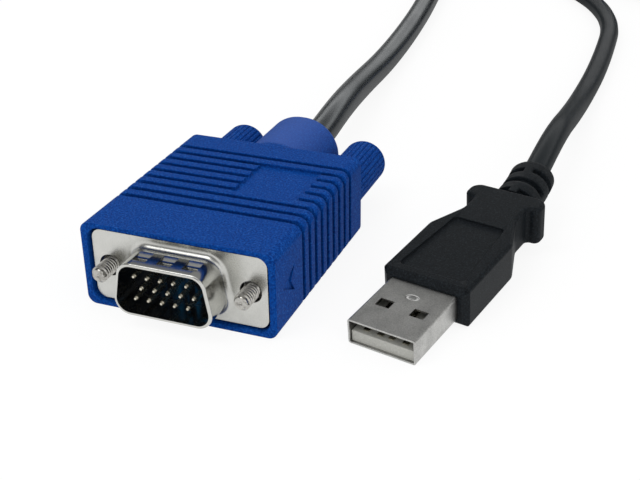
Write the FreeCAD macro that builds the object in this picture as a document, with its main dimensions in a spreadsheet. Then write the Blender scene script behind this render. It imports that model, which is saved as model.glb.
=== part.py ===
"""Console cable: a 15-pin video plug and a small flat plug, joined into one trunk.

The frame's origin is the centre of the video plug's flange face. +Y runs back along
the plug towards its lead, +Z is up, and the whole cable lies on a surface that touches
the underside of the video plug's hood. All sizes are in millimetres.
"""
import FreeCAD, Part
import math
import os

import Sketcher

V = FreeCAD.Vector

# Driving sizes: a name, its number and what it measures.
DRIVING = [
    ("hood_width", 34.1, "video hood, side to side"),
    ("hood_height", 15.0, "video hood, underside to top"),
    ("hood_length", 39.2, "video hood, front rim to rear face"),
    ("hood_corner", 1.6, "radius along the hood's long edges"),
    ("hood_end", 0.5, "radius round the hood's rear face"),
    ("rim_depth", 0.7, "hood rim ahead of the flange face"),
    ("rim_gap", 0.45, "gap round the flange inside the rim"),
    ("groove_count", 9, "grip grooves round the hood"),
    ("groove_width", 1.05, "grip groove, along the hood"),
    ("groove_depth", 0.6, "grip groove, into the hood"),
    ("groove_corner", 2.5, "radius of a groove's floor round the hood's long edges"),
    ("groove_pitch", 2.71, "grip groove to grip groove"),
    ("groove_first", 10.2, "flange face to the first grip groove"),
    ("label_width", 11.6, "blank recess on the hood's top, across"),
    ("label_length", 11.2, "blank recess, along"),
    ("label_across", 6.9, "blank recess, centre to the hood's middle"),
    ("label_back", 23.6, "blank recess, centre to the flange face"),
    ("arrow_size", 4.2, "arrow mark on the hood's side"),
    ("arrow_depth", 0.35, "arrow mark, into the side"),
    ("arrow_back", 2.3, "arrow's point to the flange face"),
    ("boot_gap", 0.8, "boot's side to a screw knob"),
    ("boot_inset", 0.2, "boot's top below the hood's top"),
    ("boot_across", 0.45, "boot's middle to the hood's middle"),
    ("boot_length", 16.0, "boot, beyond the hood"),
    ("boot_round", 1.5, "rounding at the boot's far end"),
    ("flange_inset", 1.65, "metal flange's end to the hood's side"),
    ("flange_below", 1.25, "metal flange's top edge to the hood's top"),
    ("flange_corner", 1.7, "metal flange, corner radius"),
    ("sheet_thick", 0.5, "plug's sheet metal"),
    ("screw_inset", 4.555, "lock screw's middle to the hood's side"),
    ("skirt_room", 8.07, "lock screws' spacing beyond the skirt's inside width"),
    ("skirt_below", 2.07, "skirt's inside top to the flange's top edge"),
    ("skirt_slope", 10.0, "lean of the skirt's ends, degrees"),
    ("skirt_corner", 2.2, "skirt, inside corner radius"),
    ("skirt_depth", 6.0, "skirt, ahead of the flange face"),
    ("dimple_count", 3, "stamped grip dimples on the skirt"),
    ("dimple_width", 2.5, "grip dimple, across"),
    ("dimple_length", 3.0, "grip dimple, along"),
    ("dimple_depth", 0.34, "grip dimple, into the sheet"),
    ("dimple_pitch", 4.35, "grip dimple to grip dimple"),
    ("skirt_root", 1.1, "rounding where the skirt rises from the flange"),
    ("insulator_plate", 1.0, "insulator between the two metal flanges"),
    ("insulator_back", 5.2, "insulator behind the rear flange"),
    ("tub_depth", 3.6, "rear metal tub behind its flange"),
    ("pin_columns", 5, "contact pins in a row"),
    ("pin_share", 0.13534, "pin to pin in a row, as a share of the skirt's width"),
    ("row_pitch", 1.98, "row to row"),
    ("pin_radius", 0.38, "contact pin"),
    ("pin_reach", 5.2, "contact pin ahead of the insulator"),
    ("tail_length", 2.6, "solder tail behind the insulator"),
    ("core_room", 6.19, "lock screws' spacing beyond the inner mould's width"),
    ("core_below", 0.55, "inner mould's top to the flange's top edge"),
    ("core_wall", 0.45, "inner mould, side walls"),
    ("core_length", 14.0, "inner mould, along the plug"),
    ("core_end", 3.4, "inner mould, solid end"),
    ("ferrule_length", 7.0, "crimped ferrule on the video lead"),
    ("ferrule_wall", 0.5, "crimped ferrules, wall"),
    ("thread_radius", 1.42, "lock screw's thread, outside"),
    ("thread_reach", 3.8, "lock screw ahead of the flange"),
    ("thread_hole", 1.65, "the hood's rear bores, radius"),
    ("flange_hole", 1.9, "flange holes, radius"),
    ("neck_radius", 1.0, "lock screw's neck"),
    ("washer_radius", 2.2, "retaining washer, outside"),
    ("washer_thick", 1.0, "retaining washer"),
    ("running_gap", 0.06, "radial clearance of washers, shanks and necks"),
    ("screw_travel", 4.5, "lock screw, in and out"),
    ("seat_gap", 0.3, "clearance between faces that part"),
    ("knob_radius", 4.2, "screw knob"),
    ("knob_length", 15.2, "screw knob"),
    ("knob_dome", 1.3, "rounding at the knob's free end"),
    ("knob_bore", 7.0, "depth of the shank in the knob"),
    ("flute_count", 28, "flutes round a knob"),
    ("flute_depth", 0.24, "flutes, into the knob"),
    ("video_lead_d", 6.0, "video lead, across"),
    ("small_lead_d", 4.8, "small plug's lead, across"),
    ("trunk_d", 6.8, "trunk cable, across"),
    ("nose_width", 12.0, "small plug's metal nose, across"),
    ("nose_height", 4.5, "small plug's metal nose, height"),
    ("nose_sheet", 0.3, "small plug's sheet metal"),
    ("nose_reach", 13.0, "metal nose ahead of its mould"),
    ("nose_hidden", 6.0, "metal nose inside its mould"),
    ("window_width", 2.5, "latch windows, across"),
    ("window_length", 2.0, "latch windows, along"),
    ("window_spacing", 6.1, "latch window to latch window"),
    ("window_back", 6.3, "latch windows' centre behind the tip"),
    ("mark_back", 9.5, "blank oval stamp on the nose's top, behind the tip"),
    ("mark_width", 2.2, "blank oval stamp, across"),
    ("mark_length", 1.3, "blank oval stamp, along"),
    ("mark_depth", 0.1, "blank oval stamp, into the sheet"),
    ("tongue_thick", 1.9, "white tongue in the metal nose"),
    ("tongue_inset", 0.5, "tongue behind the tip"),
    ("strip_width", 1.0, "small plug's contact strips"),
    ("strip_thick", 0.2, "small plug's contact strips"),
    ("strip_length", 10.0, "small plug's contact strips"),
    ("strip_inner", 1.0, "inner contact strips from the middle"),
    ("strip_outer", 3.5, "outer contact strips from the middle"),
    ("grip_width", 15.6, "small plug's mould, across"),
    ("grip_height", 7.2, "small plug's mould, height"),
    ("grip_side", 16.0, "mould's straight sides"),
    ("grip_bevel", 1.0, "bevel round the mould's front"),
    ("neck_width", 10.0, "mould's waist"),
    ("neck_back", 23.0, "waist's start behind the mould's front"),
    ("guard_back", 27.4, "guard ears behind the mould's front"),
    ("guard_width", 14.4, "guard ears, tip to tip"),
    ("guard_thick", 4.2, "guard ears, along"),
    ("wire_room", 9.0, "joined wires between the nose and the lead's ferrule"),
    ("panel_depth", 0.4, "recess on the mould's top"),
    ("sleeve_width", 8.3, "slotted sleeve, across"),
    ("sleeve_height", 7.1, "slotted sleeve, height"),
    ("sleeve_length", 11.6, "slotted sleeve behind the guard"),
    ("sleeve_rings", 3, "rings of the slotted sleeve"),
    ("ring_share", 0.62, "ring's share of a sleeve step"),
    ("sleeve_wall", 0.45, "sleeve's wall between its rings"),
    ("web_width", 1.6, "webs from ring to ring"),
    ("plug_yaw", 12.8, "small plug's turn to the right, degrees"),
    ("plug_across", 33.4, "small plug's tip, to the right"),
    ("plug_forward", 1.2, "small plug's tip, behind the flange face"),
    ("block_width", 19.0, "junction block, at the two leads"),
    ("block_end_width", 11.0, "junction block, at the trunk"),
    ("block_height", 9.4, "junction block"),
    ("block_length", 24.0, "junction block"),
    ("block_socket", 6.0, "depth of the cables in the block"),
    ("coil_diameter", 68.0, "coil, at the middle of its turns"),
]


class Size:
    """A number together with its formula in the sheet."""

    def __init__(self, number, text):
        self.number = number
        self.text = text

    def __add__(self, other):
        other = size(other)
        return Size(self.number + other.number, f"({self.text} + {other.text})")

    def __sub__(self, other):
        other = size(other)
        return Size(self.number - other.number, f"({self.text} - {other.text})")

    def __mul__(self, other):
        other = size(other)
        return Size(self.number * other.number, f"({self.text} * {other.text})")

    def __truediv__(self, other):
        other = size(other)
        return Size(self.number / other.number, f"({self.text} / {other.text})")

    def __radd__(self, other):
        return size(other) + self

    def __rsub__(self, other):
        return size(other) - self

    def __rmul__(self, other):
        return size(other) * self

    def __neg__(self):
        return Size(-self.number, f"(0 - {self.text})")

    def __float__(self):
        return float(self.number)


def size(value):
    """Gives a plain number the form of a size."""
    if isinstance(value, Size):
        return value
    return Size(float(value), repr(float(value)))


def tangent(angle):
    """The tangent of an angle in degrees."""
    angle = size(angle)
    return Size(math.tan(math.radians(angle.number)), f"tan({angle.text} * 1 deg)")


def smaller(one, other):
    """The smaller of two sizes."""
    return Size(min(one.number, other.number), f"min({one.text}; {other.text})")


class Sheet:
    """The driving sizes by name, each bound to its cell."""

    def __init__(self, rows):
        cells = doc.addObject("Spreadsheet::Sheet", "Dims")
        for row, (name, number, meaning) in enumerate(rows, start=1):
            cells.set(f"A{row}", meaning)
            cells.set(f"B{row}", str(number))
            cells.setAlias(f"B{row}", name)
        doc.recompute()
        for name, _, _ in rows:
            setattr(self, name, Size(float(cells.get(name)), f"Dims.{name}"))


doc = FreeCAD.newDocument("ConsoleCable")
d = Sheet(DRIVING)

# Widths and heights of the video plug that follow its hood.
SCREW_SPACING = d.hood_width - d.screw_inset * 2
FLANGE_WIDTH = d.hood_width - d.flange_inset * 2
FLANGE_HEIGHT = d.hood_height - d.flange_below * 2
SKIRT_WIDTH = SCREW_SPACING - d.skirt_room
SKIRT_HEIGHT = FLANGE_HEIGHT - d.skirt_below * 2
PIN_PITCH = SKIRT_WIDTH * d.pin_share
CORE_WIDTH = SCREW_SPACING - d.core_room
CORE_HEIGHT = FLANGE_HEIGHT - d.core_below * 2
BOOT_WIDTH = SCREW_SPACING - (d.knob_radius + d.boot_gap) * 2
BOOT_HEIGHT = d.hood_height - d.boot_inset * 2

# Places that several pieces share, measured along the video plug from its flange face.
HOOD_FRONT = -d.rim_depth
HOOD_REAR = d.hood_length - d.rim_depth
BOOT_END = HOOD_REAR + d.boot_length
PLATE_FRONT = d.sheet_thick
PLATE_BACK = PLATE_FRONT + d.insulator_plate
STACK_BACK = PLATE_BACK + d.sheet_thick
INSULATOR_BACK = STACK_BACK + d.insulator_back
CORE_BACK = STACK_BACK + d.core_length
FERRULE_BACK = CORE_BACK + d.ferrule_length
WASHER_FRONT = STACK_BACK + d.seat_gap
WASHER_BACK = WASHER_FRONT + d.washer_thick
WASHER_STOP = WASHER_BACK + d.screw_travel + d.seat_gap
KNOB_FRONT = HOOD_REAR + d.seat_gap
SKIRT_OUT = d.sheet_thick
GROUND = -float(d.hood_height) / 2

# Places along the small plug, measured from the tip of its metal nose.
GRIP_FRONT = d.nose_reach
GRIP_TURN = GRIP_FRONT + d.grip_side
NECK_START = GRIP_FRONT + d.neck_back
GUARD_FRONT = GRIP_FRONT + d.guard_back
GUARD_BACK = GUARD_FRONT + d.guard_thick
NOSE_BACK = GRIP_FRONT + d.nose_hidden
CLAMP_FRONT = NOSE_BACK + d.wire_room
CLAMP_BACK = CLAMP_FRONT + d.ferrule_length


def new_body(label):
    """An empty body whose label names its file."""
    body = doc.addObject("PartDesign::Body", label.title().replace("_", ""))
    body.Label = label
    return body


def plane_of(body, role):
    return [item for item in body.Origin.OriginFeatures if item.Role == role][0]


def new_sketch(body, role, height=0):
    """A sketch on one of the body's own planes, moved along the plane's normal."""
    sketch = body.newObject("Sketcher::SketchObject", "Sketch")
    sketch.AttachmentSupport = [(plane_of(body, role), "")]
    sketch.MapMode = "FlatFace"
    sketch.setExpression("AttachmentOffset.Base.z", size(height).text)
    return sketch


def hold(sketch, kind, where, value):
    """Sets one dimension of the sketch and binds it to its formula."""
    index = sketch.addConstraint(Sketcher.Constraint(kind, *where, float(value)))
    if isinstance(value, Size):
        sketch.setExpression(f"Constraints[{index}]", value.text)


def hold_point(sketch, geometry, point, across, up):
    """Holds a point of the sketch at its two coordinates."""
    for kind, value, axis in (("DistanceX", across, -2), ("DistanceY", up, -1)):
        if abs(float(value)) < 1e-9:
            sketch.addConstraint(
                Sketcher.Constraint("PointOnObject", geometry, point, axis)
            )
        else:
            hold(sketch, kind, (geometry, point), value)


def outline(sketch, corners):
    """Draws a closed outline from (across, up, radius) corners, with arcs at its radii."""
    count = len(corners)
    spots = [V(float(x), float(y), 0) for x, y, _ in corners]
    enter, leave, arcs = [], [], []
    for index, (_, _, radius) in enumerate(corners):
        spot = spots[index]
        back = (spots[index - 1] - spot).normalize()
        ahead = (spots[(index + 1) % count] - spot).normalize()
        half = back.getAngle(ahead) / 2
        cut = float(radius) / math.tan(half)
        enter.append(spot + back * cut)
        leave.append(spot + ahead * cut)
        if float(radius) > 0:
            middle = (back + ahead).normalize()
            reach = float(radius) / math.sin(half) - float(radius)
            arcs.append(Part.Arc(enter[index], spot + middle * reach, leave[index]))
        else:
            arcs.append(None)
    lines = [
        sketch.addGeometry(Part.LineSegment(leave[index], enter[(index + 1) % count]))
        for index in range(count)
    ]
    for index, (across, up, radius) in enumerate(corners):
        before, after = lines[index - 1], lines[index]
        mark = sketch.addGeometry(Part.Point(spots[index]), True)
        hold_point(sketch, mark, 1, across, up)
        if arcs[index] is None:
            sketch.addConstraint(Sketcher.Constraint("Coincident", before, 2, mark, 1))
            sketch.addConstraint(Sketcher.Constraint("Coincident", after, 1, mark, 1))
            continue
        arc = sketch.addGeometry(arcs[index])
        start = sketch.getPoint(arc, 1)
        first, last = (1, 2) if start.distanceToPoint(enter[index]) < 1e-6 else (2, 1)
        sketch.addConstraint(Sketcher.Constraint("PointOnObject", mark, 1, before))
        sketch.addConstraint(Sketcher.Constraint("PointOnObject", mark, 1, after))
        sketch.addConstraint(Sketcher.Constraint("Tangent", before, 2, arc, first))
        sketch.addConstraint(Sketcher.Constraint("Tangent", arc, last, after, 1))
        hold(sketch, "Radius", (arc,), radius)


def rectangle(sketch, width, height, radius=0, across=0, up=0):
    """A rectangle about its centre, with rounded corners where a radius is given."""
    across, up, width, height = size(across), size(up), size(width), size(height)
    outline(
        sketch,
        [
            (across - width / 2, up - height / 2, radius),
            (across + width / 2, up - height / 2, radius),
            (across + width / 2, up + height / 2, radius),
            (across - width / 2, up + height / 2, radius),
        ],
    )


def d_shape(sketch, grow):
    """The skirt's D shape, its wide side down, grown outwards from the skirt's inside."""
    grow = size(grow)
    half_height = SKIRT_HEIGHT / 2 + grow
    lean = tangent(d.skirt_slope) * half_height
    middle = (SKIRT_WIDTH - tangent(d.skirt_slope) * SKIRT_HEIGHT) / 2 + grow
    radius = d.skirt_corner + grow
    outline(
        sketch,
        [
            (-(middle + lean), -half_height, radius),
            (middle + lean, -half_height, radius),
            (middle - lean, half_height, radius),
            (-(middle - lean), half_height, radius),
        ],
    )


def circle(sketch, radius, across=0, up=0):
    """A circle held by its centre and radius."""
    centre = V(float(across), float(up), 0)
    index = sketch.addGeometry(Part.Circle(centre, V(0, 0, 1), float(radius)))
    hold_point(sketch, index, 3, across, up)
    hold(sketch, "Radius", (index,), radius)


def pad(body, sketch, length, backwards=False, midway=False):
    """Raises the sketch into a solid, along its normal or backwards."""
    feature = body.newObject("PartDesign::Pad", "Pad")
    feature.Profile = sketch
    feature.Reversed = backwards
    if midway:
        feature.SideType = "Symmetric"
    feature.setExpression("Length", size(length).text)
    sketch.Visibility = False
    doc.recompute()
    return feature


def pocket(body, sketch, length, forwards=False, midway=False):
    """Cuts the sketch into the body, against its normal or forwards."""
    before = body.Shape.Volume
    feature = body.newObject("PartDesign::Pocket", "Pocket")
    feature.Profile = sketch
    feature.Reversed = forwards
    if midway:
        feature.SideType = "Symmetric"
    feature.setExpression("Length", size(length).text)
    sketch.Visibility = False
    doc.recompute()
    if feature.Shape.Volume >= before:
        raise RuntimeError(f"{body.Label}: {feature.Name} removes nothing")
    return feature


def revolve(body, corners, cut=False):
    """Turns a half outline of (radius, along, rounding) corners about the body's Y axis."""
    sketch = new_sketch(body, "XY_Plane")
    outline(sketch, corners)
    kind = "PartDesign::Groove" if cut else "PartDesign::Revolution"
    feature = body.newObject(kind, "Turned")
    feature.Profile = sketch
    feature.ReferenceAxis = (sketch, ["V_Axis"])
    feature.Angle = 360.0
    sketch.Visibility = False
    doc.recompute()
    return feature


def edges_where(feature, test):
    """The names of a feature's edges that pass the test."""
    names = []
    for index, edge in enumerate(feature.Shape.Edges, start=1):
        if test(edge):
            names.append(f"Edge{index}")
    return names


def soften(body, feature, test, radius, bevel=False):
    """Rounds or bevels the edges of a feature that pass the test."""
    kind = "PartDesign::Chamfer" if bevel else "PartDesign::Fillet"
    finish = body.newObject(kind, "Edges")
    finish.Base = (feature, edges_where(feature, test))
    finish.setExpression("Size" if bevel else "Radius", size(radius).text)
    doc.recompute()
    return finish


def repeat(body, feature, role, count, pitch):
    """Repeats a feature in a line along one of the body's axes."""
    pattern = body.newObject("PartDesign::LinearPattern", "Row")
    pattern.Originals = [feature]
    pattern.Direction = (plane_of(body, role), [""])
    pattern.setExpression("Occurrences", size(count).text)
    pattern.setExpression("Length", (size(pitch) * (size(count) - 1)).text)
    body.Tip = pattern
    doc.recompute()
    return pattern


def at_level(edge, level, axis="y"):
    """Whether an edge lies wholly in the plane at this level."""
    low = getattr(edge.BoundBox, axis.upper() + "Min")
    high = getattr(edge.BoundBox, axis.upper() + "Max")
    return abs(low - float(level)) < 1e-5 and abs(high - float(level)) < 1e-5


def place(item, plug, across=0, along=0, up=0):
    """Puts a piece at a point of its plug's own frame."""
    item.Placement = plug.multiply(
        FreeCAD.Placement(V(float(across), float(along), float(up)), FreeCAD.Rotation())
    )
    return item


def pin_spots():
    """The centres of the fifteen contacts, seen from the front."""
    spots = []
    for row, shift in ((1, -1), (0, 1), (-1, -1)):
        for column in range(round(float(d.pin_columns))):
            step = size(column) - (d.pin_columns - 1) / 2
            spots.append((PIN_PITCH * (step + shift / 4), d.row_pitch * row))
    return spots


def make_hood(name, plug, lead_d):
    """The ribbed blue hood, with its boot and everything that is hollow in it."""
    body = new_body(name)
    section = new_sketch(body, "XZ_Plane", -HOOD_FRONT)
    rectangle(section, d.hood_width, d.hood_height, d.hood_corner)
    block = pad(body, section, d.hood_length, backwards=True)
    soften(body, block, lambda edge: at_level(edge, HOOD_REAR), d.hood_end)
    sunk = 2.0
    oval = new_sketch(body, "XZ_Plane", -(HOOD_REAR - sunk))
    corner = smaller(BOOT_WIDTH, BOOT_HEIGHT) * 0.49
    rectangle(oval, BOOT_WIDTH, BOOT_HEIGHT, corner, -d.boot_across)
    boot = pad(body, oval, d.boot_length + sunk, backwards=True)
    soften(body, boot, lambda edge: at_level(edge, BOOT_END), d.boot_round)
    groove = new_sketch(body, "XZ_Plane", -d.groove_first)
    rectangle(groove, d.hood_width + 4, d.hood_height + 4)
    rectangle(
        groove,
        d.hood_width - d.groove_depth * 2,
        d.hood_height - d.groove_depth * 2,
        d.groove_corner,
    )
    first = pocket(body, groove, d.groove_width)
    repeat(body, first, "Y_Axis", d.groove_count, d.groove_pitch)
    label = new_sketch(body, "XY_Plane", d.hood_height / 2)
    rectangle(
        label, d.label_width, d.label_length, 0.4, d.label_across, d.label_back
    )
    pocket(body, label, d.groove_depth)
    arrow = new_sketch(body, "YZ_Plane", d.hood_width / 2)
    outline(
        arrow,
        [
            (d.arrow_back, 0, 0),
            (d.arrow_back + d.arrow_size, -d.arrow_size / 2, 0),
            (d.arrow_back + d.arrow_size * 0.7, 0, 0),
            (d.arrow_back + d.arrow_size, d.arrow_size / 2, 0),
        ],
    )
    pocket(body, arrow, d.arrow_depth)
    seat = new_sketch(body, "XZ_Plane", -HOOD_FRONT)
    rectangle(
        seat,
        FLANGE_WIDTH + d.rim_gap * 2,
        FLANGE_HEIGHT + d.rim_gap * 2,
        d.flange_corner + d.rim_gap,
    )
    pocket(body, seat, STACK_BACK - HOOD_FRONT)
    core = new_sketch(body, "XZ_Plane", -STACK_BACK)
    rectangle(core, CORE_WIDTH, CORE_HEIGHT, 1.0)
    pocket(body, core, d.core_length)
    clamp = new_sketch(body, "XZ_Plane", -CORE_BACK)
    circle(clamp, lead_d / 2 + d.ferrule_wall)
    pocket(body, clamp, d.ferrule_length)
    lead = new_sketch(body, "XZ_Plane", -FERRULE_BACK)
    circle(lead, lead_d / 2)
    pocket(body, lead, BOOT_END - FERRULE_BACK + 1)
    for radius, start, end in (
        (d.washer_radius + d.running_gap, STACK_BACK, WASHER_STOP),
        (d.thread_hole, WASHER_STOP, HOOD_REAR + 1),
    ):
        bores = new_sketch(body, "XZ_Plane", -start)
        for side in (-1, 1):
            circle(bores, radius, SCREW_SPACING / 2 * side)
        pocket(body, bores, end - start)
    return place(body, plug)


def make_front_shell(name, plug):
    """The front flange with its D-shaped skirt, drawn from one sheet."""
    body = new_body(name)
    sheet = new_sketch(body, "XZ_Plane", -d.sheet_thick)
    rectangle(sheet, FLANGE_WIDTH, FLANGE_HEIGHT, d.flange_corner)
    flat = pad(body, sheet, d.sheet_thick)
    skirt = new_sketch(body, "XZ_Plane", 0)
    d_shape(skirt, SKIRT_OUT)
    drawn = pad(body, skirt, d.skirt_depth)
    reach = float(SKIRT_WIDTH) / 2 + 1

    def at_root(edge):
        box = edge.BoundBox
        return at_level(edge, 0) and box.XMax < reach and box.XMin > -reach

    root = soften(body, drawn, at_root, d.skirt_root)
    soften(body, root, lambda edge: at_level(edge, -d.skirt_depth), 0.3)
    mouth = new_sketch(body, "XZ_Plane", d.skirt_depth)
    d_shape(mouth, 0)
    pocket(body, mouth, d.skirt_depth + d.sheet_thick)
    top = SKIRT_HEIGHT / 2 + SKIRT_OUT
    middle = -(d.skirt_depth + 0.3) / 2
    dimple = new_sketch(body, "YZ_Plane", -d.dimple_pitch * (d.dimple_count - 1) / 2)
    outline(
        dimple,
        [
            (middle - d.dimple_length / 2, top, 0),
            (middle, top - d.dimple_depth * 1.25, 1.6),
            (middle + d.dimple_length / 2, top, 0),
            (middle, top + 1, 0),
        ],
    )
    first = pocket(body, dimple, d.dimple_width, midway=True)
    repeat(body, first, "X_Axis", d.dimple_count, d.dimple_pitch)
    holes = new_sketch(body, "XZ_Plane", 0)
    for side in (-1, 1):
        circle(holes, d.flange_hole, SCREW_SPACING / 2 * side)
    pocket(body, holes, d.sheet_thick)
    return place(body, plug)


def make_rear_shell(name, plug):
    """The rear flange with the shallow tub that holds the insulator."""
    body = new_body(name)
    sheet = new_sketch(body, "XZ_Plane", -STACK_BACK)
    rectangle(sheet, FLANGE_WIDTH, FLANGE_HEIGHT, d.flange_corner)
    pad(body, sheet, d.sheet_thick)
    tub = new_sketch(body, "XZ_Plane", -STACK_BACK)
    d_shape(tub, d.sheet_thick / 2)
    pad(body, tub, d.tub_depth, backwards=True)
    hollow = new_sketch(body, "XZ_Plane", -PLATE_BACK)
    d_shape(hollow, -d.sheet_thick / 2)
    pocket(body, hollow, d.tub_depth + d.sheet_thick)
    holes = new_sketch(body, "XZ_Plane", -PLATE_BACK)
    for side in (-1, 1):
        circle(holes, d.flange_hole, SCREW_SPACING / 2 * side)
    pocket(body, holes, d.sheet_thick)
    return place(body, plug)


def make_insulator(name, plug):
    """The dark insulator: a face inside the skirt, a plate and a rear block."""
    body = new_body(name)
    face = new_sketch(body, "XZ_Plane", -PLATE_FRONT)
    d_shape(face, -0.02)
    pad(body, face, d.sheet_thick)
    plate = new_sketch(body, "XZ_Plane", -PLATE_BACK)
    rectangle(plate, SKIRT_WIDTH + 2.6, SKIRT_HEIGHT + 2.4, 1.0)
    pad(body, plate, d.insulator_plate)
    block = new_sketch(body, "XZ_Plane", -PLATE_BACK)
    d_shape(block, -d.sheet_thick / 2 - 0.05)
    pad(body, block, INSULATOR_BACK - PLATE_BACK, backwards=True)
    holes = new_sketch(body, "XZ_Plane", 0)
    for across, up in pin_spots():
        circle(holes, d.pin_radius, across, up)
    pocket(body, holes, INSULATOR_BACK)
    return place(body, plug)


def make_pin(name, plug, across, up):
    """One contact: a pin with a tapered tip and a solder tail."""
    body = new_body(name)
    tip = 0.35
    revolve(
        body,
        [
            (0, -d.pin_reach, 0),
            (d.pin_radius * 0.55, -d.pin_reach, 0),
            (d.pin_radius, -d.pin_reach + tip, 0),
            (d.pin_radius, INSULATOR_BACK + d.tail_length, 0),
            (0, INSULATOR_BACK + d.tail_length, 0),
        ],
    )
    return place(body, plug, across, 0, up)


def make_core(name, plug):
    """The inner mould round the rear tub and the soldered tails."""
    body = new_body(name)
    block = new_sketch(body, "XZ_Plane", -STACK_BACK)
    rectangle(block, CORE_WIDTH, CORE_HEIGHT, 1.0)
    pad(body, block, d.core_length, backwards=True)
    hollow = new_sketch(body, "XZ_Plane", -STACK_BACK)
    rectangle(hollow, CORE_WIDTH - d.core_wall * 2, CORE_HEIGHT - d.core_wall * 2, 0.6)
    pocket(body, hollow, d.core_length - d.core_end)
    return place(body, plug)


def make_ferrule(name, plug, radius, start, turned_in):
    """A crimped ferrule with a turned-in lip, round the end of a lead."""
    body = new_body(name)
    outer = radius + d.ferrule_wall
    revolve(
        body,
        [
            (radius, start, 0),
            (outer, start, 0),
            (outer, start + turned_in, 0),
            (radius, start + turned_in, 0),
        ],
    )
    return place(body, plug)


def make_knob(name, plug, side):
    """A fluted knob with a blind bore for its screw and a smooth rounded end."""
    body = new_body(name)
    end = KNOB_FRONT + d.knob_length
    revolve(
        body,
        [
            (0, KNOB_FRONT, 0),
            (d.knob_radius - 0.5, KNOB_FRONT, 0),
            (d.knob_radius, KNOB_FRONT + 0.5, 0),
            (d.knob_radius, end, d.knob_dome),
            (0, end, 0),
        ],
    )
    bore = new_sketch(body, "XZ_Plane", -KNOB_FRONT)
    circle(bore, d.thread_hole - d.running_gap)
    pocket(body, bore, d.knob_bore)
    flute = new_sketch(body, "XZ_Plane", -KNOB_FRONT)
    reach = d.knob_radius + 0.4
    outline(
        flute,
        [
            (d.knob_radius - d.flute_depth, 0, 0),
            (reach, -d.flute_depth - 0.3, 0),
            (reach, d.flute_depth + 0.3, 0),
        ],
    )
    first = pocket(body, flute, d.knob_length - d.knob_dome)
    ring = body.newObject("PartDesign::PolarPattern", "Flutes")
    ring.Originals = [first]
    ring.Axis = (plane_of(body, "Y_Axis"), [""])
    ring.Angle = 360.0
    ring.setExpression("Occurrences", d.flute_count.text)
    body.Tip = ring
    doc.recompute()
    return place(body, plug, SCREW_SPACING / 2 * side)


def make_screw(name, plug, side):
    """The steel lock screw: thread, neck for the washer, and the shank into the knob."""
    body = new_body(name)
    shank = d.thread_hole - d.running_gap
    end = KNOB_FRONT + d.knob_bore
    neck = d.neck_radius
    revolve(
        body,
        [
            (0, -d.thread_reach, 0),
            (d.thread_radius - 0.4, -d.thread_reach, 0),
            (d.thread_radius, -d.thread_reach + 0.4, 0),
            (d.thread_radius, 0, 0),
            (d.thread_radius - 0.02, 0, 0),
            (d.thread_radius - 0.02, WASHER_FRONT - d.running_gap, 0),
            (neck, WASHER_FRONT - d.running_gap, 0),
            (neck, WASHER_BACK + d.running_gap, 0),
            (shank, WASHER_BACK + d.running_gap, 0),
            (shank, end, 0),
            (0, end, 0),
        ],
    )
    return place(body, plug, SCREW_SPACING / 2 * side)


def make_washer(name, plug, side):
    """The retaining washer that runs on the screw's neck and keeps it in the hood."""
    body = new_body(name)
    inner = d.neck_radius + d.running_gap
    revolve(
        body,
        [
            (inner, WASHER_FRONT, 0),
            (d.washer_radius, WASHER_FRONT, 0),
            (d.washer_radius, WASHER_BACK, 0),
            (inner, WASHER_BACK, 0),
        ],
    )
    return place(body, plug, SCREW_SPACING / 2 * side)


def make_video_plug(prefix, plug, lead_d, pins_apart):
    """Every piece of one 15-pin plug, in the plug's own frame."""
    pieces = [
        make_hood(f"{prefix}_hood", plug, lead_d),
        make_front_shell(f"{prefix}_front_shell", plug),
        make_rear_shell(f"{prefix}_rear_shell", plug),
        make_insulator(f"{prefix}_insulator", plug),
        make_core(f"{prefix}_inner_mould", plug),
        make_ferrule(
            f"{prefix}_ferrule", plug, lead_d / 2, CORE_BACK, d.ferrule_length
        ),
    ]
    pins = [
        make_pin(f"{prefix}_pin_{number}", plug, across, up)
        for number, (across, up) in enumerate(pin_spots(), start=1)
    ]
    if pins_apart:
        pieces += pins
    else:
        group = doc.addObject("Part::Compound", "PinGroup")
        group.Label = f"{prefix}_pins"
        group.Links = pins
        pieces.append(group)
    for side, word in ((-1, "left"), (1, "right")):
        pieces.append(make_knob(f"{prefix}_knob_{word}", plug, side))
        pieces.append(make_screw(f"{prefix}_screw_{word}", plug, side))
        pieces.append(make_washer(f"{prefix}_washer_{word}", plug, side))
    return pieces


def small_plug_frame():
    """The small plug rests on its metal tip and on the front lower edge of its mould."""
    drop = float(d.grip_height - d.nose_height) / 2
    tilt = math.atan2(drop, float(d.nose_reach + d.grip_bevel))
    lift = float(d.nose_height) / 2 * math.cos(tilt)
    turn = FreeCAD.Rotation(V(0, 0, 1), -float(d.plug_yaw))
    rise = FreeCAD.Rotation(V(1, 0, 0), math.degrees(tilt))
    tip = V(float(d.plug_across), float(d.plug_forward), GROUND + lift)
    return FreeCAD.Placement(tip, turn.multiply(rise))


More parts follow.
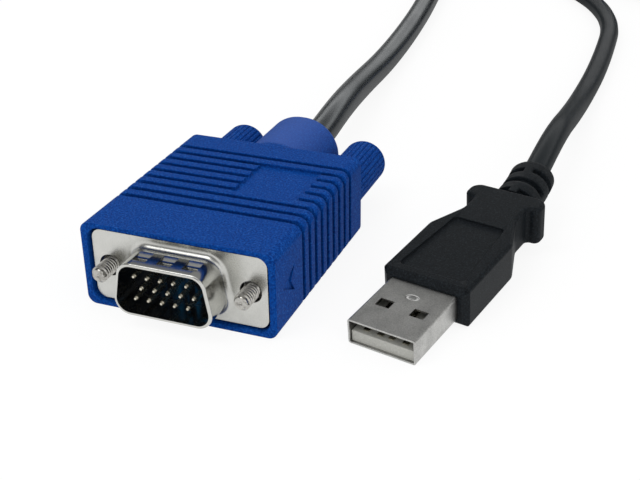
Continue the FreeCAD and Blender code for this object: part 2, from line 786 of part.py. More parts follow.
def make_nose(name, plug):
    """The folded metal nose, open at its front, with its four latch windows."""
    body = new_body(name)
    outside = new_sketch(body, "XZ_Plane", 0)
    rectangle(outside, d.nose_width, d.nose_height, 0.4)
    rectangle(
        outside,
        d.nose_width - d.nose_sheet * 2,
        d.nose_height - d.nose_sheet * 2,
        0.15,
    )
    pad(body, outside, NOSE_BACK, backwards=True)
    windows = new_sketch(body, "XY_Plane", d.nose_height)
    for side in (-1, 1):
        rectangle(
            windows,
            d.window_width,
            d.window_length,
            0,
            d.window_spacing / 2 * side,
            d.window_back,
        )
    pocket(body, windows, d.nose_height * 2)
    stamp = new_sketch(body, "XY_Plane", d.nose_height / 2)
    for share in (1.0, 0.45):
        width, length = d.mark_width * share, d.mark_length * share
        rectangle(stamp, width, length, length * 0.48, 0, d.mark_back)
    pocket(body, stamp, d.mark_depth)
    return place(body, plug)


def make_tongue(name, plug):
    """The white insulator: a tongue along the nose's floor and a block behind it."""
    body = new_body(name)
    floor = -d.nose_height / 2 + d.nose_sheet
    inside = d.nose_width - d.nose_sheet * 2
    block = new_sketch(body, "XZ_Plane", -GRIP_FRONT + 0.8)
    rectangle(block, inside, d.nose_height - d.nose_sheet * 2, 0.15)
    pad(body, block, d.nose_hidden + 0.8, backwards=True)
    tongue = new_sketch(body, "XZ_Plane", -d.tongue_inset)
    rectangle(tongue, inside - 0.2, d.tongue_thick, 0, 0, floor + d.tongue_thick / 2)
    pad(body, tongue, GRIP_FRONT - d.tongue_inset, backwards=True)
    return place(body, plug)


def make_strip(name, plug, across):
    """One flat contact strip on top of the tongue."""
    body = new_body(name)
    top = -d.nose_height / 2 + d.nose_sheet + d.tongue_thick
    strip = new_sketch(body, "XY_Plane", top)
    length = d.strip_length
    rectangle(
        strip, d.strip_width, length, 0, across, d.tongue_inset + 0.8 + length / 2
    )
    pad(body, strip, d.strip_thick)
    return place(body, plug)


def make_small_core(name, plug):
    """The inner mould behind the metal nose, where the wires are joined."""
    body = new_body(name)
    block = new_sketch(body, "XZ_Plane", -NOSE_BACK)
    rectangle(block, d.nose_width - 1, d.nose_height, 0.8)
    pad(body, block, CLAMP_FRONT - NOSE_BACK, backwards=True)
    return place(body, plug)


def arc_path(points, radii=None, report=""):
    """A wire of straight runs joined by tangent arcs, as large as the runs allow."""
    edges = []
    start = points[0]
    for index in range(1, len(points) - 1):
        back = (points[index - 1] - points[index]).normalize()
        ahead = (points[index + 1] - points[index]).normalize()
        half_turn = (math.pi - back.getAngle(ahead)) / 2
        shorter = min(
            points[index].distanceToPoint(points[index - 1]),
            points[index].distanceToPoint(points[index + 1]),
        )
        radius = 0.45 * shorter / math.tan(half_turn)
        if radii and index in radii:
            radius = radii[index]
        cut = radius * math.tan(half_turn)
        enter = points[index] + back * cut
        leave = points[index] + ahead * cut
        reach = radius / math.cos(half_turn) - radius
        middle = points[index] + (back + ahead).normalize() * reach
        edges.append(Part.LineSegment(start, enter).toShape())
        edges.append(Part.Arc(enter, middle, leave).toShape())
        start = leave
        if report:
            print(f"{report}: turn {index} has a radius of {radius:.0f} mm")
    edges.append(Part.LineSegment(start, points[-1]).toShape())
    return Part.Wire(edges)


def tube(wire, radius, name):
    """A round tube along a wire, with its volume compared with section times length."""
    start = wire.Edges[0].valueAt(wire.Edges[0].FirstParameter)
    heading = wire.Edges[0].tangentAt(wire.Edges[0].FirstParameter)
    ring = Part.Wire([Part.Circle(start, heading, radius).toShape()])
    solid = wire.makePipeShell([ring], True, False)
    expected = math.pi * radius ** 2 * wire.Length
    print(f"{name}: {wire.Length:.0f} mm long, volume share {solid.Volume / expected:.4f}")
    return solid


def video_lead_points():
    """The video lead's route, from its ferrule to the junction."""
    low = GROUND
    return [
        V(0, float(CORE_BACK), 0),
        V(0, float(BOOT_END) + 4, 0),
        V(-2.4, 79, low + 7.2),
        V(-4.8, 99, low + 5.2),
        V(-6.2, 119, low + 3.5),
        V(-7.7, 139, low + 3.0),
        V(-9.8, 161, low + 3.0),
        V(-12.8, 183, low + 3.0),
        V(-16.2, 205, low + 3.0),
        V(-18.5, 227, low + 3.1),
        V(-18.9, 246, low + 4.2),
        V(-18.9, 264, low + 4.7),
    ]


SLEEVE_TURN = math.radians(float(d.plug_yaw))
SLEEVE_BEND = float(d.sleeve_length) / SLEEVE_TURN


def sleeve_part(section, start, length):
    """A stretch of the bent sleeve: its section, carried round the sleeve's bend."""
    axis_point = V(-SLEEVE_BEND, float(GUARD_BACK), 0)
    face = section.copy()
    face.rotate(axis_point, V(0, 0, 1), math.degrees(start / SLEEVE_BEND))
    return face.revolve(axis_point, V(0, 0, 1), math.degrees(length / SLEEVE_BEND))


def round_section(radius):
    """A round face across the small plug's centre line, at the back of its guard."""
    ring = Part.Circle(V(0, float(GUARD_BACK), 0), V(0, 1, 0), radius)
    return Part.Face(Part.Wire([ring.toShape()]))


def oval_section(width, height):
    """An oval face across the small plug's centre line, at the back of its guard."""
    back = float(GUARD_BACK)
    ring = Part.Ellipse(V(width / 2, back, 0), V(0, back, height / 2), V(0, back, 0))
    return Part.Face(Part.Wire([ring.toShape()]))


def web_section(width, height, oval):
    """The face of the two webs that join one ring of the sleeve to the next."""
    corner = V(-width / 2, float(GUARD_BACK), -height / 2)
    flat = Part.makePlane(width, height, corner, V(0, -1, 0), V(1, 0, 0))
    return flat.common(oval).Faces[0]


def small_lead_points(plug):
    """The small lead's route: inside the plug, round the sleeve's bend, then outside."""
    low = GROUND
    corner = float(GUARD_BACK) + SLEEVE_BEND * math.tan(SLEEVE_TURN / 2)
    return [
        plug.multVec(V(0, float(CLAMP_FRONT), 0)),
        plug.multVec(V(0, corner, 0)),
        V(44.7, 77, low + 8.3),
        V(44.2, 95, low + 5.2),
        V(43.3, 113, low + 2.8),
        V(43.0, 132, low + 2.4),
        V(43.3, 152, low + 2.4),
        V(42.2, 172, low + 2.4),
        V(36.0, 191, low + 2.4),
        V(25.0, 208, low + 2.4),
        V(11.0, 222, low + 2.6),
        V(-2.0, 235, low + 3.4),
        V(-8.9, 250, low + 4.4),
        V(-9.5, 264, low + 4.7),
    ]


def make_grip(name, plug, lead):
    """The black mould: waisted body, guard ears and a slotted sleeve that bends."""
    body = new_body("grip_block")
    half = d.grip_width / 2
    neck = d.neck_width / 2
    ears = d.guard_width / 2
    shoulder, waist = 3.0, 4.0
    ear_front, ear_back = d.guard_thick * 0.3, d.guard_thick * 0.5
    plan = new_sketch(body, "XY_Plane", 0)
    outline(
        plan,
        [
            (-half, GRIP_FRONT, 0),
            (half, GRIP_FRONT, 0),
            (half, GRIP_TURN, shoulder),
            (neck, NECK_START, waist),
            (neck, GUARD_FRONT, 0.8),
            (ears, GUARD_FRONT, ear_front),
            (ears, GUARD_BACK, ear_back),
            (-ears, GUARD_BACK, ear_back),
            (-ears, GUARD_FRONT, ear_front),
            (-neck, GUARD_FRONT, 0.8),
            (-neck, NECK_START, waist),
            (-half, GRIP_TURN, shoulder),
        ],
    )
    block = pad(body, plan, d.grip_height, midway=True)
    front = soften(
        body, block, lambda edge: at_level(edge, GRIP_FRONT), d.grip_bevel, bevel=True
    )
    level = float(d.grip_height) / 2
    soften(
        body,
        front,
        lambda edge: (at_level(edge, level, "z") or at_level(edge, -level, "z"))
        and edge.BoundBox.YMax > float(GRIP_FRONT + d.grip_bevel) + 0.1,
        0.7,
    )
    panel = new_sketch(body, "XY_Plane", d.grip_height / 2)
    outline(
        panel,
        [
            (-d.grip_width * 0.38, GRIP_FRONT + 2.4, 0.8),
            (d.grip_width * 0.38, GRIP_FRONT + 2.4, 0.8),
            (d.grip_width * 0.30, GRIP_FRONT + 19.4, 0.8),
            (-d.grip_width * 0.30, GRIP_FRONT + 19.4, 0.8),
        ],
    )
    pocket(body, panel, d.panel_depth)
    for width, height, start, end in (
        (d.nose_width, d.nose_height, GRIP_FRONT, NOSE_BACK),
        (d.nose_width - 1, d.nose_height, NOSE_BACK, CLAMP_FRONT),
    ):
        hollow = new_sketch(body, "XZ_Plane", -start)
        rectangle(hollow, width, height, 0.4 if start is GRIP_FRONT else 0.8)
        pocket(body, hollow, end - start)
    clamp = new_sketch(body, "XZ_Plane", -CLAMP_FRONT)
    circle(clamp, d.small_lead_d / 2 + d.ferrule_wall)
    pocket(body, clamp, d.ferrule_length)
    place(body, plug)

    rings = round(float(d.sleeve_rings))
    step = float(d.sleeve_length) / rings
    thick = step * float(d.ring_share)
    width, height = float(d.sleeve_width), float(d.sleeve_height)
    oval = oval_section(width, height)
    core = float(d.small_lead_d) / 2 + float(d.sleeve_wall)
    web = float(d.web_width)
    sleeve = sleeve_part(round_section(core), 0, float(d.sleeve_length))
    for number in range(rings):
        ring = sleeve_part(oval, step * (number + 1) - thick, thick)
        flat = (width, web) if number % 2 else (web, height)
        webs = sleeve_part(web_section(*flat, oval), step * number, step)
        sleeve = sleeve.fuse([ring, webs])
    sleeve.Placement = plug
    mould = doc.addObject("Part::Feature", "Grip")
    mould.Label = name
    mould.Shape = body.Shape.fuse(sleeve).cut(lead).removeSplitter()
    return mould


def make_block(name, entries, exit_point):
    """The moulded junction: wide where two leads enter, narrow where the trunk leaves."""
    body = new_body(name)
    middle_x = exit_point.x
    plan = new_sketch(body, "XY_Plane", 0)
    length = d.block_length
    wide = d.block_width / 2
    narrow = d.block_end_width / 2
    outline(
        plan,
        [
            (-wide, 0, 1.5),
            (wide, 0, 1.5),
            (wide, length * 0.45, 5.0),
            (narrow, length * 0.8, 5.0),
            (narrow, length, 1.0),
            (-narrow, length, 1.0),
            (-narrow, length * 0.8, 5.0),
            (-wide, length * 0.45, 5.0),
        ],
    )
    block = pad(body, plan, d.block_height, midway=True)
    level = float(d.block_height) / 2
    soften(
        body,
        block,
        lambda edge: at_level(edge, level, "z") or at_level(edge, -level, "z"),
        1.2,
    )
    socket_depth = d.block_socket
    for point, diameter in entries:
        socket = new_sketch(body, "XZ_Plane", 0)
        circle(socket, diameter / 2, size(point.x - middle_x))
        pocket(body, socket, socket_depth)
    socket = new_sketch(body, "XZ_Plane", -length)
    circle(socket, d.trunk_d / 2)
    pocket(body, socket, socket_depth, forwards=True)
    body.Placement.Base = V(middle_x, BLOCK_FRONT, GROUND + float(d.block_height) / 2)
    return body


def piece_of(name, shape):
    """A piece whose shape is worked out here."""
    item = doc.addObject("Part::Feature", name.title().replace("_", ""))
    item.Label = name
    item.Shape = shape
    return item


# The far plug lies behind the near one, beside the junction and ahead of the coil.
FAR_ACROSS = 52.0
FAR_BACK = 213.0
BLOCK_FRONT = 258.0
TRUNK_ACROSS = -14.2
COIL_BACK = FAR_BACK + 99.0

NEAR = FreeCAD.Placement()
FAR = FreeCAD.Placement(V(FAR_ACROSS, FAR_BACK, 0), FreeCAD.Rotation())
SMALL = small_plug_frame()

parts = make_video_plug("video", NEAR, d.video_lead_d, True)
parts += make_video_plug("console", FAR, d.trunk_d, False)

small_points = small_lead_points(SMALL)
small_wire = arc_path(small_points, {1: SLEEVE_BEND}, "usb_lead")
small_lead = tube(small_wire, float(d.small_lead_d) / 2, "usb_lead")
parts += [
    make_grip("usb_overmould", SMALL, small_lead),
    make_nose("usb_shell", SMALL),
    make_tongue("usb_insulator", SMALL),
    make_small_core("usb_inner_mould", SMALL),
    make_ferrule(
        "usb_ferrule", SMALL, d.small_lead_d / 2, CLAMP_FRONT, d.ferrule_length
    ),
    piece_of("usb_lead", small_lead),
]
strip_spots = (-d.strip_outer, -d.strip_inner, d.strip_inner, d.strip_outer)
for number, across in enumerate(strip_spots, start=1):
    parts.append(make_strip(f"usb_contact_{number}", SMALL, across))

video_points = video_lead_points()
video_wire = arc_path(video_points, None, "video_lead")
video_lead = tube(video_wire, float(d.video_lead_d) / 2, "video_lead")
parts.append(piece_of("video_lead", video_lead))

half_height = float(d.block_height) / 2
exit_point = V(TRUNK_ACROSS, BLOCK_FRONT + float(d.block_length), GROUND + half_height)
parts.append(
    make_block(
        "junction_block",
        [
            (video_points[-1], d.video_lead_d),
            (small_points[-1], d.small_lead_d),
        ],
        exit_point,
    )
)

trunk_radius = float(d.trunk_d) / 2
coil_radius = float(d.coil_diameter) / 2
coil_centre = V(TRUNK_ACROSS + coil_radius + trunk_radius, COIL_BACK, GROUND)
coil_body = new_body("trunk_coil")
coil_section = new_sketch(coil_body, "XZ_Plane", 0)
half_stack = d.trunk_d * (1 + math.sqrt(0.75)) / 2
slope = d.trunk_d * 0.3
for_ring = [
    (-d.trunk_d, half_stack - slope),
    (-(d.trunk_d - slope), half_stack),
    (d.trunk_d - slope, half_stack),
    (d.trunk_d, half_stack - slope),
]
upper = [(d.coil_diameter / 2 + across, half_stack + up, 0) for across, up in for_ring]
lower = [(across, half_stack * 2 - up, 0) for across, up, _ in reversed(upper)]
outline(coil_section, upper + lower)
coil = coil_body.newObject("PartDesign::Revolution", "Turns")
coil.Profile = coil_section
coil.ReferenceAxis = (coil_section, ["V_Axis"])
coil.Angle = 360.0
coil_body.Placement.Base = coil_centre
doc.recompute()
parts.append(coil_body)

trunk_in_wire = arc_path(
    [
        exit_point - V(0, float(d.block_socket), 0),
        exit_point + V(0, 4, 0),
        V(TRUNK_ACROSS - 0.2, COIL_BACK, GROUND + trunk_radius),
    ],
    None,
    "trunk_in",
)
far_entry = V(FAR_ACROSS, FAR_BACK + float(CORE_BACK), 0)
boot_end = FAR_BACK + float(BOOT_END)
top_turn = GROUND + trunk_radius * (1 + 2 * math.sqrt(0.75))
trunk_out_wire = arc_path(
    [
        far_entry,
        V(FAR_ACROSS, boot_end + 3, 0),
        V(coil_centre.x + coil_radius, COIL_BACK, top_turn),
    ],
    None,
    "trunk_out",
)
for name, wire in (("trunk_in", trunk_in_wire), ("trunk_out", trunk_out_wire)):
    solid = tube(wire, trunk_radius, name).cut(coil_body.Shape)
    whole = max(solid.Solids, key=lambda item: item.Volume)
    parts.append(piece_of(name, whole))

doc.recompute()
for item in doc.Objects:
    if "Invalid" in item.State or "Error" in item.State:
        raise RuntimeError(f"{item.Label} failed: {item.State}")
for part in parts:
    if part.Shape.isNull() or not part.Shape.isValid():
        raise RuntimeError(f"{part.Label} has no valid shape")

os.makedirs("parts", exist_ok=True)
for part in parts:
    part.Shape.exportStep(os.path.join("parts", part.Label + ".step"))
print(f"{len(parts)} pieces written")
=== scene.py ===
"""Looks of a console cable: a blue 15-pin video plug and a small black plug on one trunk."""
import math

import bmesh
import bpy
from mathutils import Matrix, Vector


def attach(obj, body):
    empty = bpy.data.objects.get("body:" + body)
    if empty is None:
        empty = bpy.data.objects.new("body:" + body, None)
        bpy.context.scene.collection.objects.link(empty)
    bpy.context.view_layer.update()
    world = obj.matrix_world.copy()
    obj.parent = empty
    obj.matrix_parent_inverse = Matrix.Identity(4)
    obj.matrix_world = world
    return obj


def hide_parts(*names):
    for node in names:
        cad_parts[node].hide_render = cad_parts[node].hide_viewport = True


MM = 0.001

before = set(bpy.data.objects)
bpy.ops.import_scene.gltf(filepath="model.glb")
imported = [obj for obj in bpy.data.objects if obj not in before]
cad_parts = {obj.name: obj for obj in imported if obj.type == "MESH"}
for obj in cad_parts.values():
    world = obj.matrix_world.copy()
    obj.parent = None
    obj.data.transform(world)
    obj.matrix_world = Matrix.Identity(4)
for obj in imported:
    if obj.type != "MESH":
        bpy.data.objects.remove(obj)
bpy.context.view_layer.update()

# Sizes and places are in millimetres, and a colour's fourth number is its opacity.
# The two 15-pin plugs, by the middle of their faces.
PLUGS = {"video": (0, 0), "console": (52.0, 213.0)}
HOOD_LENGTH = 39.2
GROUND = -7.5

# The small plug rests on its metal tip and on the front lower edge of its mould.
NOSE_HEIGHT = 4.5
GRIP_HEIGHT = 7.2
GRIP_EDGE = 14.0
PLUG_YAW = math.radians(12.8)
PLUG_RISE = math.atan2((GRIP_HEIGHT - NOSE_HEIGHT) / 2, GRIP_EDGE)
PLUG_TIP = Vector((33.4, 1.2, GROUND + NOSE_HEIGHT / 2 * math.cos(PLUG_RISE)))
SMALL = (
    Matrix.Translation(PLUG_TIP)
    @ Matrix.Rotation(-PLUG_YAW, 4, "Z")
    @ Matrix.Rotation(PLUG_RISE, 4, "X")
)


class Value:
    """A number or colour inside a finish. Sums and products of values add Math nodes."""

    def __init__(self, finish, socket):
        self.finish = finish
        self.socket = socket

    def math(self, operation, first, second):
        return self.finish.node(
            "ShaderNodeMath", {"operation": operation}, {0: first, 1: second}
        )

    def __add__(self, other):
        return self.math("ADD", self, other)

    def __sub__(self, other):
        return self.math("SUBTRACT", self, other)

    def __mul__(self, other):
        return self.math("MULTIPLY", self, other)

    def __truediv__(self, other):
        return self.math("DIVIDE", self, other)

    def __pow__(self, other):
        return self.math("POWER", self, other)

    def __radd__(self, other):
        return self.math("ADD", other, self)

    def __rsub__(self, other):
        return self.math("SUBTRACT", other, self)

    def __rmul__(self, other):
        return self.math("MULTIPLY", other, self)

    def __rtruediv__(self, other):
        return self.math("DIVIDE", other, self)

    def larger(self, other):
        return self.math("MAXIMUM", self, other)


class Finish:
    """A finish being mixed: its material, or the world, and the ways to add to it."""

    def __init__(self, name, owner=None):
        self.material = owner or bpy.data.materials.new(name)
        self.material.use_nodes = True
        self.tree = self.material.node_tree
        self.tree.nodes.clear()

    def feed(self, socket, value):
        if isinstance(value, Value):
            self.tree.links.new(value.socket, socket)
        else:
            socket.default_value = value

    def node(self, kind, settings=None, sockets=None, output=0):
        """Adds a node: its settings first, then the values or links of its sockets."""
        made = self.tree.nodes.new(kind)
        for key, value in (settings or {}).items():
            setattr(made, key, value)
        for key, value in (sockets or {}).items():
            self.feed(made.inputs[key], value)
        return Value(self, made.outputs[output]) if made.outputs else None

    def place(self, stretch=(1, 1, 1), turn=(0, 0, 0)):
        """The point on the piece, in metres, turned and stretched."""
        point = self.node("ShaderNodeTexCoord", output="Object")
        return self.node(
            "ShaderNodeMapping", {}, {"Vector": point, "Scale": stretch, "Rotation": turn}
        )

    def along(self, axis, vector=None):
        """One part of a vector: 0 across, 1 along or 2 up. Without one, of the place."""
        return self.node(
            "ShaderNodeSeparateXYZ", {}, {"Vector": vector or self.place()}, axis
        )

    def ray(self, kind):
        """1 for the rays of this kind, and 0 for others."""
        return self.node("ShaderNodeLightPath", output=f"Is {kind} Ray")

    def grain(self, size_mm, detail=2.0, stretch=(1, 1, 1), turn=(0, 0, 0)):
        """A soft random pattern from 0 to 1, its spots about this many millimetres."""
        return self.node(
            "ShaderNodeTexNoise",
            {},
            {
                "Vector": self.place(stretch, turn),
                "Scale": 1 / (size_mm * MM),
                "Detail": detail,
                "Roughness": 0.55,
            },
        )

    def ramp(self, value, low, high):
        """How far the value has risen from low to high, from 0 to 1."""
        return self.node(
            "ShaderNodeMapRange", {}, {"Value": value, "From Min": low, "From Max": high}
        )

    def blend(self, share, first, second):
        """A colour between two colours."""
        return self.node(
            "ShaderNodeMix", {"data_type": "RGBA"}, {0: share, 6: first, 7: second}, 2
        )

    def openness(self, reach_mm):
        """How open the surface lies, from 0 deep in a groove to 1 on a flat."""
        return self.node(
            "ShaderNodeAmbientOcclusion",
            {"samples": 8, "only_local": True},
            {"Distance": reach_mm * MM},
            1,
        )

    def shaded_in_hollows(self, tone, hollow_shade, reach_mm):
        """A tone with painted shade that darkens it down in the grooves and corners."""
        return self.blend(self.ramp(self.openness(reach_mm), 0.35, 0.85), hollow_shade, tone)

    def bump(self, height, depth_mm):
        return self.node(
            "ShaderNodeBump", {}, {"Height": height, "Distance": depth_mm * MM}
        )

    def surface(self, **sockets):
        """The finish's surface, from sockets named with underscores for their spaces."""
        named = {key.replace("_", " "): value for key, value in sockets.items()}
        shader = self.node("ShaderNodeBsdfPrincipled", {}, named)
        self.node("ShaderNodeOutputMaterial", {}, {"Surface": shader})
        return self.material


def darker(shade, share):
    return (*(part * share for part in shade[:3]), 1)


BOOT_HALF_WIDTH = 7.6
# The colour of the painted sheen on the boots.
BOOT_SHEEN = (0.072, 0.138, 0.444, 1)


def painted_boot_sheen(mix, tone):
    """A tone with a painted sheen: paler along the middle of the smooth boots behind the
    hoods.
    """
    x = mix.along(0)
    y = mix.along(1)
    boots = 0
    for across, along in PLUGS.values():
        aside = x - across * MM
        back = along + HOOD_LENGTH
        beside = mix.ramp(aside * aside, 0, (BOOT_HALF_WIDTH * MM) ** 2)
        behind = mix.ramp(y, back * MM, (back + 1) * MM)
        boots = (1 - beside) * behind + boots
    return mix.blend(boots * 0.55, tone, BOOT_SHEEN)


def moulded_plastic(
    name, shade, pale, speck, gloss, grain_mm, relief, shine=0.5, sheen_painter=None
):
    """Moulded plastic: a fine grain with pale specks, and painted shade that darkens its
    grooves.
    """
    mix = Finish(name)
    fine = mix.grain(grain_mm, 3.0)
    broad = mix.grain(7.0, 2.0)
    specks = mix.ramp(mix.grain(grain_mm * 1.2, 1.0), 0.56, 0.7)
    tone = mix.blend(mix.ramp(fine, 0.38, 0.64) * 0.6 + broad * 0.1, shade, pale)
    tone = mix.blend(specks * 0.6, tone, speck)
    # A painted sheen, where a painter for it is given.
    if sheen_painter:
        tone = sheen_painter(mix, tone)
    # The base colour carries painted shade in the grooves and corners.
    return mix.surface(
        Base_Color=mix.shaded_in_hollows(tone, darker(shade, 0.5), 1.2),
        Roughness=gloss + fine * 0.1 + broad * 0.08,
        Specular_IOR_Level=shine,
        Normal=mix.bump(fine, relief),
    )


def insulator_plastic(name):
    """Glossy near-black plastic with painted deep blue glints in slanted streaks on its
    right side.
    """
    mix = Finish(name)
    # Painted deep blue glints: slanted streaks, only on the right side.
    blue_glints = mix.ramp(mix.grain(1.3, 1.0, (1, 1, 0.3), (0, 0.5, 0)), 0.45, 0.75)
    side = mix.ramp(mix.along(0), -4 * MM, 4 * MM)
    dust = mix.ramp(mix.grain(0.3, 2.0), 0.66, 0.8)
    tone = mix.blend(blue_glints * side, (0.002, 0.004, 0.008, 1), (0.004, 0.12, 0.28, 1))
    return mix.surface(
        Base_Color=mix.blend(dust * 0.15, tone, (0.05, 0.06, 0.07, 1)),
        Roughness=0.24 + dust * 0.2,
        Specular_IOR_Level=0.08,
    )


# The stamp on the small plug's nose: its middle behind the tip, and half its size.
STAMP_BACK = 9.5
STAMP_HALF_WIDTH = 1.1
STAMP_HALF_LENGTH = 0.65


def stamp_highlight_ring(mix):
    """1 on the oval stamp's rim on the small plug's nose, where a highlight is painted, and
    0 elsewhere.
    """
    middle = SMALL @ Vector((0, STAMP_BACK, 0)) * MM
    x = mix.along(0) - middle.x
    y = mix.along(1) - middle.y
    cosine = math.cos(PLUG_YAW)
    sine = math.sin(PLUG_YAW)
    across = (x * cosine - y * sine) / (STAMP_HALF_WIDTH * MM)
    along = (x * sine + y * cosine) / (STAMP_HALF_LENGTH * MM)
    radius = (across * across + along * along) ** 0.5
    highlight_ring = mix.ramp(radius, 0.55, 0.75) * (1 - mix.ramp(radius, 0.98, 1.12))
    return highlight_ring * mix.ramp(mix.along(2), (GROUND + 2.5) * MM, (GROUND + 3.5) * MM)


# Where the skirt's smoother metal turns into the flange's, measured from the plug's face.
SKIRT_END = (-1.6, -0.6)
SKIRT_GLOSS = 0.06
# The colour of the painted highlight on the stamp's ring.
STAMP_HIGHLIGHT = (0.92, 0.92, 0.9, 1)


def plated_sheet(name, shade, dull, gloss, brushed, spotty=0.4, skirt_from=None, highlight_ring=None):
    """Plated sheet: fine drawn lines, a cloudy film, a smoother skirt, a painted highlight
    on a ring, and painted shade in its corners.
    """
    mix = Finish(name)
    lines = mix.grain(0.09, 2.0, brushed)
    film = mix.grain(3.2, 3.0)
    mottle = mix.ramp(mix.grain(0.22, 2.0), 0.35, 0.65)
    matt = gloss
    if skirt_from is not None:
        low, high = ((skirt_from + place) * MM for place in SKIRT_END)
        flat = mix.ramp(mix.along(1), low, high)
        matt = SKIRT_GLOSS + flat * (gloss - SKIRT_GLOSS)
    # The stamp's ring gets a painted highlight: paler and half metallic.
    highlight = highlight_ring(mix) if highlight_ring else 0
    cover = mix.ramp(film, 0.35, 0.7) * (1 - spotty) + mottle * spotty
    tone = mix.blend(highlight * 0.8, mix.blend(cover, shade, dull), STAMP_HIGHLIGHT)
    # The base colour carries painted shade within 5 mm of corners, such as round the skirt's
    # root.
    return mix.surface(
        Base_Color=mix.shaded_in_hollows(tone, darker(dull, 0.35), 5.0),
        Metallic=1 - highlight * 0.5,
        Roughness=matt + lines * 0.08 + film * 0.06,
        Normal=mix.bump(lines, 0.005),
    )


def turned_metal(name, shade, dull, gloss):
    """Turned metal: rings from the tool, and darker spots."""
    mix = Finish(name)
    rings = mix.grain(0.12, 1.0, (0.2, 1, 0.2))
    spots = mix.grain(0.5, 3.0)
    return mix.surface(
        Base_Color=mix.blend(mix.ramp(spots, 0.45, 0.75), shade, dull),
        Metallic=1.0,
        Roughness=gloss + rings * 0.12,
        Normal=mix.bump(rings, 0.005),
    )


def cable_jacket(name, gloss, shine):
    """Extruded cable jacket: a soft sheen, a faintly uneven skin and some dust."""
    mix = Finish(name)
    cloud = mix.grain(9.0, 3.0)
    skin = mix.grain(0.5, 3.0)
    dust = mix.ramp(mix.grain(1.1, 2.0), 0.66, 0.8)
    tone = mix.blend(cloud, (0.008, 0.011, 0.013, 1), (0.014, 0.018, 0.021, 1))
    return mix.surface(
        Base_Color=mix.blend(dust * 0.2, tone, (0.05, 0.055, 0.06, 1)),
        Roughness=gloss + cloud * 0.1 + skin * 0.04,
        Specular_IOR_Level=shine,
        Specular_Tint=(0.85, 0.96, 1, 1),
        Normal=mix.bump(skin, 0.006),
    )


blue = moulded_plastic(
    "blue_moulding",
    (0.001, 0.026, 0.17, 1),
    (0.004, 0.095, 0.46, 1),
    (0.02, 0.12, 0.47, 1),
    gloss=0.46,
    grain_mm=0.3,
    relief=0.03,
    shine=0.04,
    sheen_painter=painted_boot_sheen,
)
black = moulded_plastic(
    "black_moulding",
    (0.001, 0.002, 0.003, 1),
    (0.013, 0.018, 0.023, 1),
    (0.022, 0.028, 0.033, 1),
    gloss=0.42,
    grain_mm=0.24,
    relief=0.02,
    shine=0.13,
)
glinting_insulator = insulator_plastic("insulator_blue_glints")
cream = moulded_plastic(
    "white_insulator",
    (0.46, 0.46, 0.42, 1),
    (0.56, 0.56, 0.52, 1),
    (0.6, 0.6, 0.56, 1),
    gloss=0.4,
    grain_mm=0.3,
    relief=0.01,
)
resin = moulded_plastic(
    "inner_resin",
    (0.5, 0.48, 0.4, 1),
    (0.58, 0.55, 0.47, 1),
    (0.62, 0.6, 0.52, 1),
    gloss=0.5,
    grain_mm=0.4,
    relief=0.01,
)
NICKEL = {
    "shade": (0.66, 0.66, 0.63, 1),
    "dull": (0.56, 0.56, 0.53, 1),
    "gloss": 0.2,
    "brushed": (1, 0.05, 1),
}
nickel = plated_sheet("nickel_sheet", **NICKEL)
near_shell = plated_sheet("near_skirt_sheet", **NICKEL, skirt_from=PLUGS["video"][1])
far_shell = plated_sheet("far_skirt_sheet", **NICKEL, skirt_from=PLUGS["console"][1])
folded = plated_sheet(
    "folded_steel",
    (0.61, 0.61, 0.59, 1),
    (0.34, 0.34, 0.33, 1),
    gloss=0.26,
    brushed=(1, 0.04, 1),
    spotty=0.5,
    highlight_ring=stamp_highlight_ring,
)
bright = turned_metal("bright_steel", (0.5, 0.49, 0.46, 1), (0.24, 0.23, 0.21, 1), 0.1)
spring = turned_metal("washer_steel", (0.5, 0.5, 0.5, 1), (0.36, 0.36, 0.36, 1), 0.3)
contact = turned_metal("contact_metal", (0.66, 0.63, 0.53, 1), (0.42, 0.39, 0.31, 1), 0.2)
crimp = turned_metal("crimp_copper", (0.7, 0.45, 0.3, 1), (0.5, 0.3, 0.2, 1), 0.3)
jacket = cable_jacket("cable_jacket", gloss=0.17, shine=0.5)
thin_jacket = cable_jacket("thin_jacket", gloss=0.26, shine=0.07)

FINISHES = {
    "hood": blue,
    "video_front_shell": near_shell,
    "console_front_shell": far_shell,
    "rear_shell": nickel,
    "insulator": glinting_insulator,
    "inner_mould": resin,
    "ferrule": crimp,
    "knob_left": blue,
    "knob_right": blue,
    "washer_left": spring,
    "washer_right": spring,
    "pins": contact,
    "overmould": black,
    "shell": folded,
    "junction_block": black,
}


def finish_of(name):
    """The finish of a node, by its kind or by how its name ends."""
    if name == "usb_insulator":
        return cream
    if "_pin_" in name or "_contact_" in name:
        return contact
    for ending, finish in FINISHES.items():
        if name.endswith(ending):
            return finish
    return jacket


# Angles from which an edge stays a corner: on CAD nodes, and before it is rounded.
NODE_CORNER = math.radians(32)
ROUNDED_CORNER = math.radians(38)

for name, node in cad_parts.items():
    node.data.materials.clear()
    node.data.materials.append(finish_of(name))
    node.data.set_sharp_from_angle(angle=NODE_CORNER)


def placed(name, data):
    """A new object of the scene with this data."""
    item = bpy.data.objects.new(name, data)
    bpy.context.scene.collection.objects.link(item)
    return item


def finished(name, form, body, finish, corner=35):
    """Makes a piece from its mesh, with its finish, riding on its body."""
    mesh = bpy.data.meshes.new(name)
    bmesh.ops.recalc_face_normals(form, faces=form.faces)
    form.to_mesh(mesh)
    form.free()
    mesh.shade_smooth()
    mesh.set_sharp_from_angle(angle=math.radians(corner))
    mesh.materials.append(finish)
    piece = placed(name, mesh)
    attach(piece, body)
    return piece


